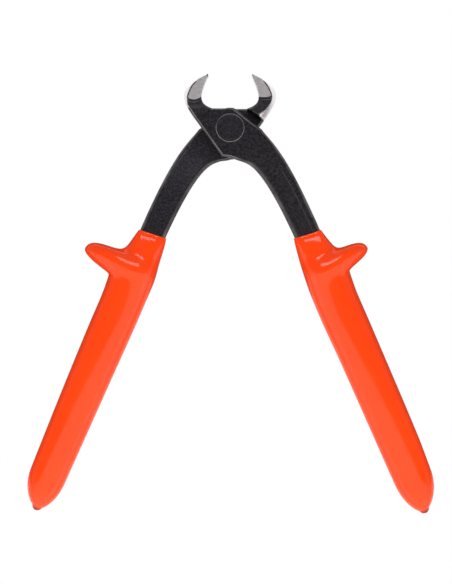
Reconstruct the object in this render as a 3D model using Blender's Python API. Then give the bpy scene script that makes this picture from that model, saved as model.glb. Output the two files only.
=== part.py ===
"""Rebar tying pliers: two like forgings crossed on one rivet, with dipped, guarded grips.

Each half is modelled once, on the lap plane where the two forgings slide on each other: its jaw
points up and to the left, its handle down and to the right. The back half is the front half turned
over about the Y axis. The part's origin is the middle of the rivet's tail, on the joint's axis.
"""
from collections import namedtuple
from math import cos, exp, pi, radians, sin

import bmesh
import bpy
from mathutils import Vector

MM = 0.001

# Gap between pieces that touch
CLEARANCE = 0.3 * MM

# Rivet
RIVET_DIAMETER = 9.0 * MM
RIVET_HEAD_DIAMETER = 14.0 * MM
RIVET_HEAD_THICKNESS = 2.2 * MM
RIVET_PROUD = 0.3 * MM
RIVET_EDGE = 0.3 * MM

# Lap joint: walls are measured from the rivet's head to the edges of a cheek
BOSS_THICKNESS = 7.35 * MM
BOSS_FRONT_WALL = 1.8 * MM
BOSS_FRONT_ANGLE = radians(53)
BOSS_BACK_WALL = 4.2 * MM
BOSS_BACK_ANGLE = radians(215.5)
BOSS_BACK_LENGTH = 20.5 * MM
MOUTH_WALL = 2.4 * MM
SHOULDER_GAP = 3.8 * MM
SHOULDER_RUN = 0.4 * MM
EDGE_ROUND = 1.0 * MM
HOLE_OVERRUN = 2.0 * MM

# Jaw: its reach and lean are those of the cutting edge, seen from the pivot
JAW_FLARE = 3.0 * MM
JAW_REACH = 28.05 * MM
JAW_LEAN = radians(22.3)
EDGE_LAND = 0.5 * MM
BEVEL_LENGTH = 6.55 * MM
BEVEL_ANGLE = radians(207.7)
JAW_BACK_SWELL = 10.0 * MM
JAW_BACK_ANGLE = radians(210)
JAW_ROOT_SWELL = 12.0 * MM
JAW_CROWN = 2.0 * MM
MOUTH_ANGLE = radians(246)
MOUTH_SWELL = 10.0 * MM
MOUTH_ROOT_ANGLE = radians(163)
MOUTH_ROOT_SWELL = 8.0 * MM

# Shares of the jaw's length where its back swells into a crown and its sides draw in to the boss
CROWN_STARTS = 0.1
CROWN_FULL = 0.4
CROWN_FADES = 0.65
CROWN_DEPTH = 0.9
JAW_NARROWS = 0.62

# Bare handle: its centreline leaves the boss along these points and ends in the grip's rim
HANDLE_CURVE = [
    Vector((7.2, -6.2)) * MM,
    Vector((13.5, -11.8)) * MM,
    Vector((19.3, -10.7)) * MM,
]
HANDLE_ROOT_WIDTH = 21.4 * MM
HANDLE_LEAST_WIDTH = 11.9 * MM
HANDLE_WAIST = 2.4
SHANK_THICKNESS = 9.2 * MM
SHANK_INSET = 0.7 * MM
LAP_REACH = 0.3

# Grip: its axis passes the pivot at an offset, and the rim lies at a distance along it
GRIP_ANGLE = radians(23.06)
GRIP_OFFSET = 15.1 * MM
RIM_DISTANCE = 61.7 * MM
RIM_SLANT = 0.09
RIM_LIP = 0.5 * MM

# Tang and the first coat on it
TANG_WIDTH = 11.8 * MM
TANG_THICKNESS = 8.4 * MM
TANG_END_WIDTH = 9.1 * MM
TANG_END_THICKNESS = 6.4 * MM
TANG_CORNER = 2.6 * MM
TANG_SETBACK = 7.8 * MM
TANG_INTO_NOSE = 8.0 * MM
TANG_ROUNDEST = 0.9
INNER_COAT = 1.0 * MM

# Outer sleeve, from its rim down
SLEEVE_LENGTH = 126.3 * MM
FRONT_COLLAR_LENGTH = 10.3 * MM
BACK_COLLAR_LENGTH = 11.2 * MM
COLLAR_WALL = 1.6 * MM
COLLAR_SLOPE = 1.0 * MM
COLLAR_SWELL = 0.55
COLLAR_FILLET = 2.1 * MM
SLEEVE_WALL = 3.3 * MM
FRONT_NOSE_LENGTH = 19.2 * MM
BACK_NOSE_LENGTH = 17.8 * MM
NOSE_BLUNTNESS = 2.4
NOSE_FULLNESS = 0.85
NIPPLE_LENGTH = 2.1 * MM
NIPPLE_WIDTH = 4.6 * MM
NIPPLE_LEAN = 0.8 * MM

# Thumb guard: it stands out from the grip to the thumb's side and makes a low ring all round
FRONT_GUARD_REACH = 13.4 * MM
BACK_GUARD_REACH = 16.2 * MM
FRONT_GUARD_RISE = 5.2 * MM
BACK_GUARD_RISE = 6.0 * MM
FRONT_GUARD_FALL = 6.5 * MM
BACK_GUARD_FALL = 7.0 * MM
GUARD_RISE_BLUNTNESS = 6.7
GUARD_FALL_BLUNTNESS = 2.0
GUARD_FILLET = 2.5 * MM
GUARD_CREST = 1.9 * MM
GUARD_CREST_DROP = 0.8
GUARD_CREST_BLUNTNESS = 1.5
GUARD_TAPER = 0.38
GUARD_WALL = 1.9 * MM
GUARD_CORE_WALL = 0.9 * MM

# Squareness of the sleeve's sections: 2 is a plain ellipse
COLLAR_SQUARENESS = 2.7
GUARD_SQUARENESS = 2.2
GRIP_SQUARENESS = 2.4
NOSE_SQUARENESS = 2.2
NIPPLE_SQUARENESS = 2.0

# Fineness of the curves, and shares of each length where its sections stand
CORNER_STEPS = 4
BEVEL_STEPS = 3
JAW_BACK_STEPS = 8
HANDLE_STEPS = 14
HANDLE_START = 2
ROUND_POINTS = 40
RING_POINTS = 4 * (CORNER_STEPS + 1)
SHARP_ANGLE = radians(35)
BOSS_BACK_STATIONS = (0.0, 0.2, 0.45, 0.65, 0.84, 1.0)
MOUTH_STATIONS = (0.0, 0.45, 0.85)
BOSS_FRONT_STATIONS = (0.12, 0.36, 0.6, 0.73, 0.87)
TANG_STATIONS = (0.0, 0.33, 0.66)
GUARD_STATIONS = (-1.0, -0.95, -0.8, -0.4, 0.15, 0.5, 0.75, 1.0)
GRIP_STATIONS = (0.0, 0.3, 0.65, 1.0)
NOSE_STATIONS = (0.35, 0.6, 0.8, 0.93)
NIPPLE_STATIONS = ((0.0, 1.0), (0.6, 0.9), (1.0, 0.5))

# Sizes of the joint that follow
RIVET_HEAD_RADIUS = RIVET_HEAD_DIAMETER / 2
BOSS_FRONT_OFFSET = RIVET_HEAD_RADIUS + BOSS_FRONT_WALL
BOSS_BACK_OFFSET = RIVET_HEAD_RADIUS + BOSS_BACK_WALL
MOUTH_FLOOR = RIVET_HEAD_RADIUS + MOUTH_WALL
SHOULDER_OFFSET = BOSS_FRONT_OFFSET + SHOULDER_GAP
LAP = CLEARANCE / 2
BOSS_FACE = LAP + BOSS_THICKNESS
LAP_HEIGHT = BOSS_FACE + RIVET_PROUD
JAW_HALF_WIDTH = BOSS_FACE + JAW_FLARE

# Places along the grip and sizes across it that follow
COAT_HOLE = CLEARANCE + INNER_COAT + CLEARANCE
TANG_START = RIM_DISTANCE + TANG_SETBACK
NOSE_DISTANCE = RIM_DISTANCE + SLEEVE_LENGTH
TANG_END = NOSE_DISTANCE + TANG_INTO_NOSE
COLLAR_WIDTH = TANG_WIDTH + 2 * (COAT_HOLE + COLLAR_WALL)
COLLAR_THICKNESS = TANG_THICKNESS + 2 * (COAT_HOLE + COLLAR_WALL)
GRIP_WIDTH = TANG_WIDTH + 2 * (COAT_HOLE + SLEEVE_WALL)
GRIP_THICKNESS = TANG_THICKNESS + 2 * (COAT_HOLE + SLEEVE_WALL)
GRIP_END_WIDTH = TANG_END_WIDTH + 2 * (COAT_HOLE + SLEEVE_WALL)
GRIP_END_THICKNESS = TANG_END_THICKNESS + 2 * (COAT_HOLE + SLEEVE_WALL)
GUARD_THICKNESS = GRIP_THICKNESS + 2 * GUARD_CREST
GUARD_INNER_REACH = TANG_WIDTH / 2 + COAT_HOLE + GUARD_CORE_WALL + CLEARANCE + GUARD_WALL

# Sizes in which one dipped sleeve differs from the other
Dip = namedtuple("Dip", "collar_length guard_reach guard_rise guard_fall nose_length")
FRONT_DIP = Dip(
    FRONT_COLLAR_LENGTH, FRONT_GUARD_REACH, FRONT_GUARD_RISE, FRONT_GUARD_FALL, FRONT_NOSE_LENGTH
)
BACK_DIP = Dip(BACK_COLLAR_LENGTH, BACK_GUARD_REACH, BACK_GUARD_RISE, BACK_GUARD_FALL, BACK_NOSE_LENGTH)


def clear_scene():
    for item in list(bpy.data.objects):
        bpy.data.objects.remove(item, do_unlink=True)


def make_material(name, colour, roughness, metallic):
    material = bpy.data.materials.new(name)
    material.use_nodes = True
    shader = material.node_tree.nodes["Principled BSDF"]
    shader.inputs["Base Color"].default_value = (*colour, 1.0)
    shader.inputs["Roughness"].default_value = roughness
    shader.inputs["Metallic"].default_value = metallic
    return material


def polar(length, angle):
    return Vector((cos(angle), sin(angle))) * length


def bezier(start, pull_start, pull_end, end, steps):
    """Points from start to end of a cubic curve, both ends included."""
    points = []
    for step in range(steps + 1):
        f = step / steps
        g = 1 - f
        points.append(g**3 * start + 3 * g * g * f * pull_start + 3 * g * f * f * pull_end + f**3 * end)
    return points


def smooth(value, start, stop):
    """Ease from 0 at the start to 1 at the stop, with level ends."""
    f = min(max((value - start) / (stop - start), 0.0), 1.0)
    return f * f * (3 - 2 * f)


def mix(first, second, fraction):
    return first + (second - first) * fraction


def loft(name, rings, closed=False):
    """Skin a row of rings with the same number of points into one closed mesh.

    Each patch is split on the same diagonal, so skins that nest keep their gap.
    """
    bm = bmesh.new()
    loops = [[bm.verts.new(point) for point in ring] for ring in rings]
    followers = loops[1:] + loops[:1] if closed else loops[1:]
    for first, second in zip(loops, followers):
        for i, corner in enumerate(first):
            j = (i + 1) % len(first)
            bm.faces.new((corner, first[j], second[j]))
            bm.faces.new((corner, second[j], second[i]))
    if not closed:
        bm.faces.new(loops[0])
        bm.faces.new(loops[-1])
    bmesh.ops.recalc_face_normals(bm, faces=bm.faces)
    mesh = bpy.data.meshes.new(name)
    bm.to_mesh(mesh)
    bm.free()
    mesh.shade_smooth()
    mesh.set_sharp_from_angle(angle=SHARP_ANGLE)
    return mesh


def bar_ring(near, far, low, high, near_round, far_round):
    """Rounded bar section from a near to a far point of the plan. A round is (across, deep)."""
    across = (far - near).normalized()
    corners = [
        (near, across, high, -1, near_round, pi, pi / 2),
        (far, -across, high, -1, far_round, pi / 2, pi),
        (far, -across, low, 1, far_round, pi, pi / 2),
        (near, across, low, 1, near_round, pi / 2, pi),
    ]
    ring = []
    for edge, inward, level, into, (wide, deep), begin, end in corners:
        for step in range(CORNER_STEPS + 1):
            turn = mix(begin, end, step / CORNER_STEPS)
            spot = edge + inward * wide * (1 + cos(turn))
            ring.append((spot.x, spot.y, level + into * deep * (1 - sin(turn))))
    return ring


def boss_edges():
    """Straight edges of the boss: a point on each, and the way each one runs to the handle."""
    back = polar(BOSS_BACK_OFFSET, BOSS_BACK_ANGLE)
    front = polar(BOSS_FRONT_OFFSET, BOSS_FRONT_ANGLE)
    return back, polar(1, BOSS_BACK_ANGLE + pi / 2), front, polar(1, BOSS_FRONT_ANGLE - pi / 2)


def shoulder_points(offset):
    """Ends of the shoulder, on the boss's back edge and on the floor of the mouth."""
    back, back_run, _, _ = boss_edges()
    normal = polar(1, pi - BOSS_FRONT_ANGLE)
    near = back + back_run * ((offset - back.dot(normal)) / back_run.dot(normal))
    far = Vector(((offset - MOUTH_FLOOR * normal.y) / normal.x, MOUTH_FLOOR))
    return near, far


def jaw_rings():
    """Hooked jaw, from the cutting edge down to the shoulder."""
    tip = polar(JAW_REACH, pi / 2 + JAW_LEAN)
    edge = tip + polar(EDGE_LAND, MOUTH_ANGLE)
    heel = tip + polar(BEVEL_LENGTH, BEVEL_ANGLE)
    near, far = shoulder_points(SHOULDER_OFFSET)
    back_run = boss_edges()[1]
    bevel = [mix(tip, heel, step / BEVEL_STEPS) for step in range(BEVEL_STEPS)]
    back = bezier(
        heel,
        heel + polar(JAW_BACK_SWELL, JAW_BACK_ANGLE),
        near - back_run * JAW_ROOT_SWELL,
        near,
        JAW_BACK_STEPS,
    )
    outer = bevel + back
    mouth = bezier(
        edge,
        edge + polar(MOUTH_SWELL, MOUTH_ANGLE),
        far + polar(MOUTH_ROOT_SWELL, MOUTH_ROOT_ANGLE),
        far,
        len(outer) - 1,
    )
    rings = []
    for i, (a, b) in enumerate(zip(outer, mouth)):
        along = i / (len(outer) - 1)
        half = mix(JAW_HALF_WIDTH, BOSS_FACE, smooth(along, JAW_NARROWS, 1.0))
        crowned = smooth(along, CROWN_STARTS, CROWN_FULL) - smooth(along, CROWN_FADES, 1.0)
        wide = min(mix(EDGE_ROUND, JAW_CROWN, crowned), (b - a).length / 4)
        deep = mix(EDGE_ROUND, CROWN_DEPTH * half, crowned)
        inner = min(EDGE_ROUND / 2, (b - a).length / 4)
        rings.append(bar_ring(a, b, -half, half, (wide, deep), (inner, inner)))
    return rings


def grip_axes():
    """Way along the grip, and the way out to its thumb side."""
    return Vector((sin(GRIP_ANGLE), -cos(GRIP_ANGLE))), Vector((cos(GRIP_ANGLE), sin(GRIP_ANGLE)))


def grip_point(distance, offset):
    """Plan point at a distance along the grip and an offset from the pivot to its thumb side."""
    along, outward = grip_axes()
    return along * distance + outward * offset


def handle_line():
    """Centre, outward normal and width of the bare handle at even steps to the grip's rim."""
    rim = grip_point(RIM_DISTANCE, GRIP_OFFSET - SHANK_INSET)
    centres = bezier(*HANDLE_CURVE, rim, HANDLE_STEPS)
    line = []
    for i, centre in enumerate(centres):
        run = centres[min(i + 1, HANDLE_STEPS)] - centres[max(i - 1, 0)]
        outward = Vector((-run.y, run.x)).normalized()
        taper = exp(-HANDLE_WAIST * i / HANDLE_STEPS)
        width = HANDLE_LEAST_WIDTH + (HANDLE_ROOT_WIDTH - HANDLE_LEAST_WIDTH) * taper
        line.append((centre, outward, width))
    return line


def handle_sides(station):
    """Inner and outer edge points of the bare handle at one station of its line."""
    centre, outward, width = station
    return centre - outward * width / 2, centre + outward * width / 2


def boss_rings():
    """Flat cheek of the lap joint, from the shoulder to the root of the handle."""
    near, far = shoulder_points(SHOULDER_OFFSET - SHOULDER_RUN)
    _, back_run, front, front_run = boss_edges()
    crotch = near + back_run * BOSS_BACK_LENGTH
    top = front + front_run * ((MOUTH_FLOOR - front.y) / front_run.y)
    sides = [handle_sides(station) for station in handle_line()]
    root = sides[HANDLE_START][1]
    inner = [mix(near, crotch, f) for f in BOSS_BACK_STATIONS]
    inner += [side[0] for side in sides[:HANDLE_START]]
    outer = [mix(far, top, f) for f in MOUTH_STATIONS]
    outer += [mix(top, root, f) for f in BOSS_FRONT_STATIONS]
    edge = (EDGE_ROUND, EDGE_ROUND)
    return [bar_ring(a, b, LAP, BOSS_FACE, edge, edge) for a, b in zip(inner, outer)]


def handle_rings():
    """Bare handle, sloping from its cheek of the joint back to the middle of the tool."""
    line = handle_line()
    edge = (EDGE_ROUND, EDGE_ROUND)
    rings = []
    for i, station in enumerate(line[HANDLE_START:], HANDLE_START):
        along = i / HANDLE_STEPS
        high = mix(BOSS_FACE, SHANK_THICKNESS / 2, along)
        low = mix(LAP, -SHANK_THICKNESS / 2, max(0.0, along - LAP_REACH) / (1 - LAP_REACH))
        near, far = handle_sides(station)
        rings.append(bar_ring(near, far, low, high, edge, edge))
    return rings


def tang_ring(distance, spare):
    """Section of the tang at a distance along the grip, swollen all round by a spare thickness."""
    f = (distance - TANG_START) / (TANG_END - TANG_START)
    half_width = mix(TANG_WIDTH, TANG_END_WIDTH, f) / 2
    half_thick = mix(TANG_THICKNESS, TANG_END_THICKNESS, f) / 2
    corner = min(TANG_CORNER, TANG_ROUNDEST * half_thick) + spare
    near = grip_point(distance, GRIP_OFFSET - half_width - spare)
    far = grip_point(distance, GRIP_OFFSET + half_width + spare)
    deep = half_thick + spare
    return bar_ring(near, far, -deep, deep, (corner, corner), (corner, corner))


def tang_rings():
    """Part of the lever inside the grip, with its end drawn in."""
    rings = [tang_ring(mix(TANG_START, TANG_END, f), 0.0) for f in TANG_STATIONS]
    return rings + [tang_ring(TANG_END - EDGE_ROUND, 0.0), tang_ring(TANG_END, -EDGE_ROUND)]


def lever_mesh():
    return loft("lever", jaw_rings() + boss_rings() + handle_rings() + tang_rings())


def oval_ring(distance, inward, outward, half_thick, power, slant=0.0, taper=0.0):
    """Oval section of the sleeve, with its reach inward and outward from the grip's axis.

    The power makes it squarer, the slant leans it, and the taper thins its thumb side.
    """
    ring = []
    for i in range(RING_POINTS):
        turn = pi - 2 * pi * (i + 0.5) / RING_POINTS
        x = abs(cos(turn)) ** (2 / power) * (1 if cos(turn) > 0 else -1)
        z = abs(sin(turn)) ** (2 / power) * (1 if sin(turn) > 0 else -1)
        reach = x * (outward if x > 0 else inward)
        spot = grip_point(distance + slant * reach, GRIP_OFFSET + reach)
        ring.append((spot.x, spot.y, half_thick * z * (1 - taper * max(x, 0.0) ** 2)))
    return ring


def inner_coat_mesh():
    """First coat, a sock on the tang that is open at the joint end."""
    start = TANG_START + CLEARANCE
    end = TANG_END + CLEARANCE
    full = CLEARANCE + INNER_COAT
    inside = [tang_ring(mix(start, end, f), CLEARANCE) for f in TANG_STATIONS]
    inside += [tang_ring(end, CLEARANCE)]
    outside = [tang_ring(mix(start, end, f), full) for f in TANG_STATIONS]
    outside += [tang_ring(end + INNER_COAT, full)]
    return loft("inner_coat", inside[::-1] + outside)


def guard_distance(dip):
    """Place of the guard's crest along the grip."""
    return RIM_DISTANCE + dip.collar_length + COLLAR_FILLET + dip.guard_rise


def guard_rings(dip, spare):
    """Guard's outer face thinned all round by a spare thickness, from the collar to the grip."""
    rings = []
    for f in GUARD_STATIONS:
        length = dip.guard_rise if f < 0 else dip.guard_fall
        lobe = 1 - abs(f) ** (GUARD_RISE_BLUNTNESS if f < 0 else GUARD_FALL_BLUNTNESS)
        crest = 1 - GUARD_CREST_DROP * abs(f) ** GUARD_CREST_BLUNTNESS
        rings.append(
            oval_ring(
                guard_distance(dip) + f * (length - spare),
                GUARD_INNER_REACH - spare,
                GRIP_WIDTH / 2 + dip.guard_reach * lobe - spare,
                mix(GRIP_THICKNESS, GUARD_THICKNESS, crest) / 2 - spare,
                GUARD_SQUARENESS,
                taper=GUARD_TAPER * lobe,
            )
        )
    return rings


def guard_ends(dip, spare):
    """Distances along the grip where the guard starts and stops, thinned by a spare thickness."""
    crest = guard_distance(dip)
    return crest - dip.guard_rise + spare, crest + dip.guard_fall - spare


def guard_core_mesh(dip):
    """Moulded collar inside the guard, threaded on the first coat."""
    spare = GUARD_WALL + CLEARANCE
    start, stop = guard_ends(dip, spare)
    rings = guard_rings(dip, spare)
    rings += [tang_ring(stop, COAT_HOLE), tang_ring(start, COAT_HOLE)]
    return loft("guard_core", rings, closed=True)


def rim_ring(spare):
    """Slanted mouth of the sleeve, a spare thickness away from the bare handle."""
    centre, _, width = handle_line()[-1]
    middle = centre.dot(grip_axes()[1])
    wide = width / 2 + spare
    near = grip_point(RIM_DISTANCE - RIM_SLANT * wide, middle - wide)
    far = grip_point(RIM_DISTANCE + RIM_SLANT * wide, middle + wide)
    deep = SHANK_THICKNESS / 2 + spare
    corner = (EDGE_ROUND + spare, EDGE_ROUND + spare)
    return bar_ring(near, far, -deep, deep, corner, corner)


def grip_ring(distance, width, thickness, power, lean=0.0):
    """Section of the grip, moved inward by a lean."""
    return oval_ring(distance, width / 2 + lean, width / 2 - lean, thickness / 2, power)


def sleeve_outside(dip):
    """Outer face of the sleeve, from its rim to the nipple at its end."""
    collar_end = RIM_DISTANCE + dip.collar_length
    grip_start = guard_ends(dip, 0.0)[1] + GUARD_FILLET
    swell = oval_ring(
        mix(RIM_DISTANCE, collar_end, COLLAR_SWELL),
        COLLAR_WIDTH / 2,
        COLLAR_WIDTH / 2 - COLLAR_SLOPE,
        COLLAR_THICKNESS / 2 - COLLAR_SLOPE / 2,
        COLLAR_SQUARENESS,
        RIM_SLANT / 2,
    )
    rings = [rim_ring(CLEARANCE + RIM_LIP), swell]
    rings.append(grip_ring(collar_end, COLLAR_WIDTH, COLLAR_THICKNESS, COLLAR_SQUARENESS))
    rings += guard_rings(dip, 0.0)
    for f in GRIP_STATIONS:
        distance = mix(grip_start, NOSE_DISTANCE, f)
        width = mix(GRIP_WIDTH, GRIP_END_WIDTH, f)
        thickness = mix(GRIP_THICKNESS, GRIP_END_THICKNESS, f)
        rings.append(grip_ring(distance, width, thickness, GRIP_SQUARENESS))
    return rings + nose_rings(dip)


def nose_rings(dip):
    """Rounded end of the sleeve and the small drip at its tip."""
    rings = []
    for f in NOSE_STATIONS:
        shrink = (1 - f**NOSE_BLUNTNESS) ** NOSE_FULLNESS
        width = mix(NIPPLE_WIDTH, GRIP_END_WIDTH, shrink)
        thickness = mix(NIPPLE_WIDTH, GRIP_END_THICKNESS, shrink)
        distance = NOSE_DISTANCE + dip.nose_length * f
        rings.append(grip_ring(distance, width, thickness, NOSE_SQUARENESS, NIPPLE_LEAN * f))
    for f, share in NIPPLE_STATIONS:
        distance = NOSE_DISTANCE + dip.nose_length + NIPPLE_LENGTH * f
        width = NIPPLE_WIDTH * share
        rings.append(grip_ring(distance, width, width, NIPPLE_SQUARENESS, NIPPLE_LEAN))
    return rings


def sleeve_inside(dip):
    """Inner face of the sleeve, from its rim to the closed end."""
    start, stop = guard_ends(dip, GUARD_WALL)
    rings = [rim_ring(CLEARANCE), tang_ring(TANG_START, CLEARANCE)]
    rings += [tang_ring(TANG_START, COAT_HOLE), tang_ring(start, COAT_HOLE)]
    rings += guard_rings(dip, GUARD_WALL)
    rings += [tang_ring(mix(stop, TANG_END, f), COAT_HOLE) for f in (0.0, 0.5)]
    return rings + [tang_ring(TANG_END + COAT_HOLE, COAT_HOLE)]


def sleeve_mesh(dip):
    return loft("outer_sleeve", sleeve_outside(dip)[::-1] + sleeve_inside(dip))


def round_ring(radius, height):
    return [
        (radius * cos(2 * pi * i / ROUND_POINTS), radius * sin(2 * pi * i / ROUND_POINTS), height)
        for i in range(ROUND_POINTS)
    ]


def rivet_mesh():
    """Rivet with a like flat head on each cheek."""
    head = RIVET_HEAD_RADIUS
    shank = RIVET_DIAMETER / 2
    top = BOSS_FACE + RIVET_PROUD
    seat = BOSS_FACE - RIVET_HEAD_THICKNESS + CLEARANCE
    half = [(shank, seat), (head, seat), (head, top - RIVET_EDGE), (head - RIVET_EDGE, top)]
    rings = [round_ring(radius, -height) for radius, height in reversed(half)]
    return loft("rivet", rings + [round_ring(radius, height) for radius, height in half])


def rivet_hole_mesh():
    """Stepped hole for the rivet and its head, cut past both faces of a cheek."""
    head = RIVET_HEAD_RADIUS + CLEARANCE
    shank = RIVET_DIAMETER / 2 + CLEARANCE
    seat = BOSS_FACE - RIVET_HEAD_THICKNESS
    low = LAP - HOLE_OVERRUN
    high = BOSS_FACE + HOLE_OVERRUN
    steps = [(shank, low), (shank, seat), (head, seat), (head, high)]
    return loft("rivet_hole", [round_ring(radius, height) for radius, height in steps])


def add_frame(name, turned):
    """Empty on the joint's axis, at the lap plane, that carries one half of the tool."""
    frame = bpy.data.objects.new(name, None)
    frame.location = (0.0, 0.0, LAP_HEIGHT)
    frame.rotation_euler = (0.0, pi if turned else 0.0, 0.0)
    bpy.context.scene.collection.objects.link(frame)
    return frame


def add_piece(name, mesh, material, frame):
    piece = bpy.data.objects.new(name, mesh)
    piece.parent = frame
    bpy.context.scene.collection.objects.link(piece)
    if material and not mesh.materials:
        mesh.materials.append(material)
    return piece


def drill(lever, hole, frame):
    """Cut the rivet's hole through a lever."""
    cutter = add_piece(lever.name + "_rivet_hole", hole, None, frame)
    cutter.hide_render = True
    cutter.display_type = "WIRE"
    cut = lever.modifiers.new("rivet_hole", "BOOLEAN")
    cut.operation = "DIFFERENCE"
    cut.solver = "EXACT"
    cut.object = cutter


def build():
    clear_scene()
    steel = make_material("black_forged_steel", (0.022, 0.021, 0.024), 0.5, 0.6)
    rivet_steel = make_material("rivet_steel", (0.024, 0.023, 0.026), 0.45, 0.6)
    first_coat = make_material("pale_first_coat", (0.75, 0.72, 0.62), 0.55, 0.0)
    core_vinyl = make_material("guard_vinyl", (0.85, 0.12, 0.02), 0.5, 0.0)
    orange = make_material("orange_dipped_vinyl", (0.95, 0.075, 0.012), 0.3, 0.0)
    forging = lever_mesh()
    hole = rivet_hole_mesh()
    sock = inner_coat_mesh()
    for side, turned, dip in (("front", False, FRONT_DIP), ("back", True, BACK_DIP)):
        frame = add_frame(side + "_half", turned)
        lever = add_piece(side + "_lever", forging, steel, frame)
        drill(lever, hole, frame)
        add_piece(side + "_inner_insulation", sock, first_coat, frame)
        add_piece(side + "_guard_core", guard_core_mesh(dip), core_vinyl, frame)
        add_piece(side + "_outer_sleeve", sleeve_mesh(dip), orange, frame)
    add_piece("pivot_rivet", rivet_mesh(), rivet_steel, frame)


build()
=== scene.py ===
"""Looks of the rebar tying pliers: black forged levers with ground jaws, a flush rivet, dipped grips.

Each half is modelled once in the lap plane, jaw up and to the left, handle down and to the right.
The back half is the same forging turned over about the Y axis.
"""
from math import copysign, cos, exp, pi, radians, sin, sqrt

import bmesh
import bpy
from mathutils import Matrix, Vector


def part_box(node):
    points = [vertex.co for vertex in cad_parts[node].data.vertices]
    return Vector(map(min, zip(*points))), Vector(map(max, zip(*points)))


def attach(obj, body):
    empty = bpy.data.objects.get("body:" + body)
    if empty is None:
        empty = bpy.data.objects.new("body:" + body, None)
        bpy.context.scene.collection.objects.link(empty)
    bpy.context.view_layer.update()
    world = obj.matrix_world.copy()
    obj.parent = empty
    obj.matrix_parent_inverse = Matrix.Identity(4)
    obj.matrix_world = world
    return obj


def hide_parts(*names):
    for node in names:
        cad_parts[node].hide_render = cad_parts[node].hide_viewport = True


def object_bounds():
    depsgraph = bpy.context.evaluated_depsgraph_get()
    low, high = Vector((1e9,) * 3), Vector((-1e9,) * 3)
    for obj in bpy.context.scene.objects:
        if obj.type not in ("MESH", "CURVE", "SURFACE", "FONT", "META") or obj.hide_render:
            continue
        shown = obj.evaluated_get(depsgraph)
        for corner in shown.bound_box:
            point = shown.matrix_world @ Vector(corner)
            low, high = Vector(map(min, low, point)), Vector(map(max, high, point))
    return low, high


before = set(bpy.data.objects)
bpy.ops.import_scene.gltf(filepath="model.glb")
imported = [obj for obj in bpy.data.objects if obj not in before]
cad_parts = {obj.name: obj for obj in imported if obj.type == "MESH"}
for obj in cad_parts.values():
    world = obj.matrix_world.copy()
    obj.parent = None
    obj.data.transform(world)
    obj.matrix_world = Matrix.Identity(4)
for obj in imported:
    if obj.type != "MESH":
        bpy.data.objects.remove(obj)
cad_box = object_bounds()

MM = 0.001
rivet_low, rivet_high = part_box("pivot_rivet")
LAP_HEIGHT = (rivet_low.z + rivet_high.z) / 2
START_RADIUS = 5.0 * MM

# Joint and rivet; the steps of the rivet's head that are made bright, as wear and as a painted highlight
# on its rim, are counted from its shank
CLEARANCE = 0.3 * MM
LAP = CLEARANCE / 2
BOSS_FACE = 7.5 * MM
RIVET_RADIUS = (rivet_high.x - rivet_low.x) / 2
RIVET_SHANK_RADIUS = 4.5 * MM
RIVET_HEAD_THICKNESS = 2.2 * MM
RIVET_TOP = (rivet_high.z - rivet_low.z) / 2
RIVET_EDGE = 0.55 * MM
RIVET_EDGE_TURNS = [radians(turn) for turn in (30, 60, 90)]
RIVET_FACE_SHARE = 0.5
RIVET_WORN_AND_SHEEN_STEPS = (1, 2, 3, 4)
RIVET_GAP = 0.04 * MM
RIVET_POINTS = 96
RIVET_SMOOTHING = radians(40)
HOLE_LIP = 0.1 * MM
HOLE_OVERRUN = 2.0 * MM

# Boss: its two straight edges, its round top and the shoulder that drops to the lap face
BOSS_FRONT_OFFSET = 8.8 * MM
BOSS_FRONT_ANGLE = radians(53)
BOSS_FRONT_SHARES = (0.03, 0.14, 0.27, 0.4, 0.52, 0.6)
BOSS_BACK_OFFSET = 11.2 * MM
BOSS_BACK_ANGLE = radians(215.5)
BOSS_BACK_LENGTH = 20.5 * MM
BOSS_TOP_RADIUS = 9.75 * MM
BOSS_TOP_ANGLES = [radians(turn) for turn in (105, 99, 93, 87, 81)]
BOSS_CORNER_SHARE = 0.985
SHOULDER_OFFSET = 14.0 * MM
SHOULDER_STEPS = (
    (13.6, -7.4), (13.2, -7.0), (12.9, -6.2), (12.7, -5.0), (12.6, -1.0), (12.45, 0.45), (11.9, 0.15)
)
CROTCH_FILLS = {"front": 0.0, "back": 0.9 * MM}
CROTCH_ACROSS = (5.0 * MM, 0.0)
CROTCH_DOWN = (-11.0 * MM, -14.0 * MM)

# Jaw, along its length from the cutting edge (0) over the bevel's heel to the shoulder (1)
JAW_HALF_WIDTH = 10.5 * MM
NECK_HALF_WIDTH = 8.7 * MM
JAW_REACH = 28.05 * MM
JAW_LEAN = radians(22.3)
EDGE_LAND = 0.65 * MM
EDGE_ANGLE = radians(280)
BEVEL_LENGTH = 6.55 * MM
BEVEL_ANGLE = radians(207.7)
HEEL = 3 / 11
JAW_BACK_SWELL = 10.0 * MM
JAW_BACK_ANGLE = radians(210)
JAW_ROOT_SWELL = 10.6 * MM
JAW_SKEW = 0.15
MOUTH_ANGLE = radians(246)
MOUTH_SWELL = 10.0 * MM
MOUTH_ROOT_ANGLE = radians(163)
MOUTH_ROOT_SWELL = 8.0 * MM
MOUTH_OFFSET = 12.6 * MM
MOUTH_FLOOR = 9.4 * MM
PAD_END = 0.5
STEP_START = 0.512
STEP_BORDER = 0.554
STEP_END = 0.562
NECK_START = 0.6
JAW_STATIONS = (
    [0.0, 0.03, 0.08, 0.15, 0.22, HEEL, 0.285, 0.3, 0.32, 0.345, 0.375, 0.41, 0.445, 0.475, PAD_END]
    + [0.506, STEP_START, 0.52, 0.528, 0.537, 0.546, STEP_BORDER, STEP_END, 0.58, NECK_START, 0.63]
    + [0.66, 0.7, 0.74, 0.78, 0.82, 0.86, 0.9, 0.94, 0.97, 1.0]
)

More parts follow.
